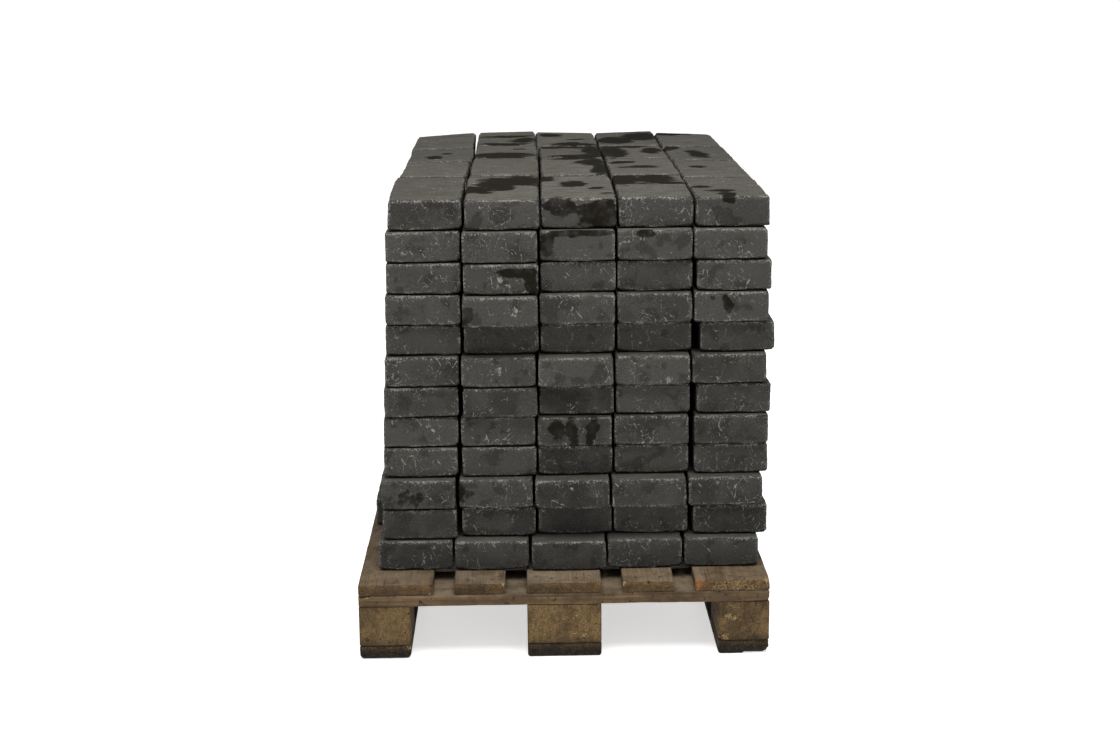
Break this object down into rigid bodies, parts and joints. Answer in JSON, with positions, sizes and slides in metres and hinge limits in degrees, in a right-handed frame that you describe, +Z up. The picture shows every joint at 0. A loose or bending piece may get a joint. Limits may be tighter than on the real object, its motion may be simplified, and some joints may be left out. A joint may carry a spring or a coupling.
{
  "type": "loaded pallet of paving stones",
  "caption": "Wooden four-way pallet carrying a column-stacked load of tumbled charcoal-grey concrete paving stones in level courses.",
  "frame": {"origin": "on the floor under the middle of the pallet", "axes": "+Z up, X across the 800 mm width of the pallet with +X to the right as seen from the front, Y along its 1200 mm length with the front of the load facing -Y"},
  "size_m": [0.8164, 1.3166, 0.8876],
  "materials": {
    "tumbled_concrete": "matte, tumbled, gritty",
    "board_wood": "rough sawn, weathered",
    "block_wood": "rough sawn end grain, soiled",
    "bottom_board_wood": "rough sawn, dirty and scuffed",
    "nail_steel": "dull, lightly rusted"
  },
  "bodies": {
    "pallet": {"block_front_centre": "block_wood", "block_front_left": "block_wood", "block_front_right": "block_wood", "block_middle_centre": "block_wood", "block_middle_left": "block_wood", "block_middle_right": "block_wood", "block_rear_centre": "block_wood", "block_rear_left": "block_wood", "block_rear_right": "block_wood", "bottom_board_centre": "bottom_board_wood", "bottom_board_left": "bottom_board_wood", "bottom_board_right": "bottom_board_wood", "deck_board_centre": "board_wood", "deck_board_inner_left": "board_wood", "deck_board_inner_right": "board_wood", "deck_board_left": "board_wood", "deck_board_right": "board_wood", "stringer_board_front": "board_wood", "stringer_board_middle": "board_wood", "stringer_board_rear": "board_wood", "bottom_nails": "nail_steel", "deck_nails_long": "nail_steel", "deck_nails_short": "nail_steel"},
    "course_01_layer": {"course_01": "tumbled_concrete"},
    "course_02_layer": {"course_02": "tumbled_concrete"},
    "course_03_layer": {"course_03": "tumbled_concrete"},
    "course_04_layer": {"course_04": "tumbled_concrete"},
    "course_05_layer": {"course_05": "tumbled_concrete"},
    "course_06_layer": {"course_06": "tumbled_concrete"},
    "course_07_layer": {"course_07": "tumbled_concrete"},
    "course_08_layer": {"course_08": "tumbled_concrete"},
    "course_09_layer": {"course_09": "tumbled_concrete"},
    "course_10_layer": {"course_10": "tumbled_concrete"},
    "course_11_layer": {"course_11": "tumbled_concrete"},
    "top_paver_row1_col1_loose": {"top_paver_row1_col1": "tumbled_concrete"},
    "top_paver_row1_col2_loose": {"top_paver_row1_col2": "tumbled_concrete"},
    "top_paver_row1_col3_loose": {"top_paver_row1_col3": "tumbled_concrete"},
    "top_paver_row1_col4_loose": {"top_paver_row1_col4": "tumbled_concrete"},
    "top_paver_row1_col5_loose": {"top_paver_row1_col5": "tumbled_concrete"},
    "top_paver_row2_col1_loose": {"top_paver_row2_col1": "tumbled_concrete"},
    "top_paver_row2_col2_loose": {"top_paver_row2_col2": "tumbled_concrete"},
    "top_paver_row2_col3_loose": {"top_paver_row2_col3": "tumbled_concrete"},
    "top_paver_row2_col4_loose": {"top_paver_row2_col4": "tumbled_concrete"},
    "top_paver_row2_col5_loose": {"top_paver_row2_col5": "tumbled_concrete"},
    "top_paver_row3_col1_loose": {"top_paver_row3_col1": "tumbled_concrete"},
    "top_paver_row3_col2_loose": {"top_paver_row3_col2": "tumbled_concrete"},
    "top_paver_row3_col3_loose": {"top_paver_row3_col3": "tumbled_concrete"},
    "top_paver_row3_col4_loose": {"top_paver_row3_col4": "tumbled_concrete"},
    "top_paver_row3_col5_loose": {"top_paver_row3_col5": "tumbled_concrete"},
    "top_paver_row4_col1_loose": {"top_paver_row4_col1": "tumbled_concrete"},
    "top_paver_row4_col2_loose": {"top_paver_row4_col2": "tumbled_concrete"},
    "top_paver_row4_col3_loose": {"top_paver_row4_col3": "tumbled_concrete"},
    "top_paver_row4_col4_loose": {"top_paver_row4_col4": "tumbled_concrete"},
    "top_paver_row4_col5_loose": {"top_paver_row4_col5": "tumbled_concrete"}
  },
  "joints": [
    {"name": "lift_course_01", "type": "slide", "parent": "pallet", "child": "course_01_layer", "axis": [0, 0, 1], "range_m": [0, 0.15]},
    {"name": "lift_course_02", "type": "slide", "parent": "course_01_layer", "child": "course_02_layer", "axis": [0, 0, 1], "range_m": [0, 0.15]},
    {"name": "lift_course_03", "type": "slide", "parent": "course_02_layer", "child": "course_03_layer", "axis": [0, 0, 1], "range_m": [0, 0.15]},
    {"name": "lift_course_04", "type": "slide", "parent": "course_03_layer", "child": "course_04_layer", "axis": [0, 0, 1], "range_m": [0, 0.15]},
    {"name": "lift_course_05", "type": "slide", "parent": "course_04_layer", "child": "course_05_layer", "axis": [0, 0, 1], "range_m": [0, 0.15]},
    {"name": "lift_course_06", "type": "slide", "parent": "course_05_layer", "child": "course_06_layer", "axis": [0, 0, 1], "range_m": [0, 0.15]},
    {"name": "lift_course_07", "type": "slide", "parent": "course_06_layer", "child": "course_07_layer", "axis": [0, 0, 1], "range_m": [0, 0.15]},
    {"name": "lift_course_08", "type": "slide", "parent": "course_07_layer", "child": "course_08_layer", "axis": [0, 0, 1], "range_m": [0, 0.15]},
    {"name": "lift_course_09", "type": "slide", "parent": "course_08_layer", "child": "course_09_layer", "axis": [0, 0, 1], "range_m": [0, 0.15]},
    {"name": "lift_course_10", "type": "slide", "parent": "course_09_layer", "child": "course_10_layer", "axis": [0, 0, 1], "range_m": [0, 0.15]},
    {"name": "lift_course_11", "type": "slide", "parent": "course_10_layer", "child": "course_11_layer", "axis": [0, 0, 1], "range_m": [0, 0.15]},
    {"name": "lift_top_paver_row1_col1", "type": "slide", "parent": "course_11_layer", "child": "top_paver_row1_col1_loose", "axis": [0, 0, 1], "range_m": [0, 0.2]},
    {"name": "lift_top_paver_row1_col2", "type": "slide", "parent": "course_11_layer", "child": "top_paver_row1_col2_loose", "axis": [0, 0, 1], "range_m": [0, 0.2]},
    {"name": "lift_top_paver_row1_col3", "type": "slide", "parent": "course_11_layer", "child": "top_paver_row1_col3_loose", "axis": [0, 0, 1], "range_m": [0, 0.2]},
    {"name": "lift_top_paver_row1_col4", "type": "slide", "parent": "course_11_layer", "child": "top_paver_row1_col4_loose", "axis": [0, 0, 1], "range_m": [0, 0.2]},
    {"name": "lift_top_paver_row1_col5", "type": "slide", "parent": "course_11_layer", "child": "top_paver_row1_col5_loose", "axis": [0, 0, 1], "range_m": [0, 0.2]},
    {"name": "lift_top_paver_row2_col1", "type": "slide", "parent": "course_11_layer", "child": "top_paver_row2_col1_loose", "axis": [0, 0, 1], "range_m": [0, 0.2]},
    {"name": "lift_top_paver_row2_col2", "type": "slide", "parent": "course_11_layer", "child": "top_paver_row2_col2_loose", "axis": [0, 0, 1], "range_m": [0, 0.2]},
    {"name": "lift_top_paver_row2_col3", "type": "slide", "parent": "course_11_layer", "child": "top_paver_row2_col3_loose", "axis": [0, 0, 1], "range_m": [0, 0.2]},
    {"name": "lift_top_paver_row2_col4", "type": "slide", "parent": "course_11_layer", "child": "top_paver_row2_col4_loose", "axis": [0, 0, 1], "range_m": [0, 0.2]},
    {"name": "lift_top_paver_row2_col5", "type": "slide", "parent": "course_11_layer", "child": "top_paver_row2_col5_loose", "axis": [0, 0, 1], "range_m": [0, 0.2]},
    {"name": "lift_top_paver_row3_col1", "type": "slide", "parent": "course_11_layer", "child": "top_paver_row3_col1_loose", "axis": [0, 0, 1], "range_m": [0, 0.2]},
    {"name": "lift_top_paver_row3_col2", "type": "slide", "parent": "course_11_layer", "child": "top_paver_row3_col2_loose", "axis": [0, 0, 1], "range_m": [0, 0.2]},
    {"name": "lift_top_paver_row3_col3", "type": "slide", "parent": "course_11_layer", "child": "top_paver_row3_col3_loose", "axis": [0, 0, 1], "range_m": [0, 0.2]},
    {"name": "lift_top_paver_row3_col4", "type": "slide", "parent": "course_11_layer", "child": "top_paver_row3_col4_loose", "axis": [0, 0, 1], "range_m": [0, 0.2]},
    {"name": "lift_top_paver_row3_col5", "type": "slide", "parent": "course_11_layer", "child": "top_paver_row3_col5_loose", "axis": [0, 0, 1], "range_m": [0, 0.2]},
    {"name": "lift_top_paver_row4_col1", "type": "slide", "parent": "course_11_layer", "child": "top_paver_row4_col1_loose", "axis": [0, 0, 1], "range_m": [0, 0.2]},
    {"name": "lift_top_paver_row4_col2", "type": "slide", "parent": "course_11_layer", "child": "top_paver_row4_col2_loose", "axis": [0, 0, 1], "range_m": [0, 0.2]},
    {"name": "lift_top_paver_row4_col3", "type": "slide", "parent": "course_11_layer", "child": "top_paver_row4_col3_loose", "axis": [0, 0, 1], "range_m": [0, 0.2]},
    {"name": "lift_top_paver_row4_col4", "type": "slide", "parent": "course_11_layer", "child": "top_paver_row4_col4_loose", "axis": [0, 0, 1], "range_m": [0, 0.2]},
    {"name": "lift_top_paver_row4_col5", "type": "slide", "parent": "course_11_layer", "child": "top_paver_row4_col5_loose", "axis": [0, 0, 1], "range_m": [0, 0.2]}
  ]
}
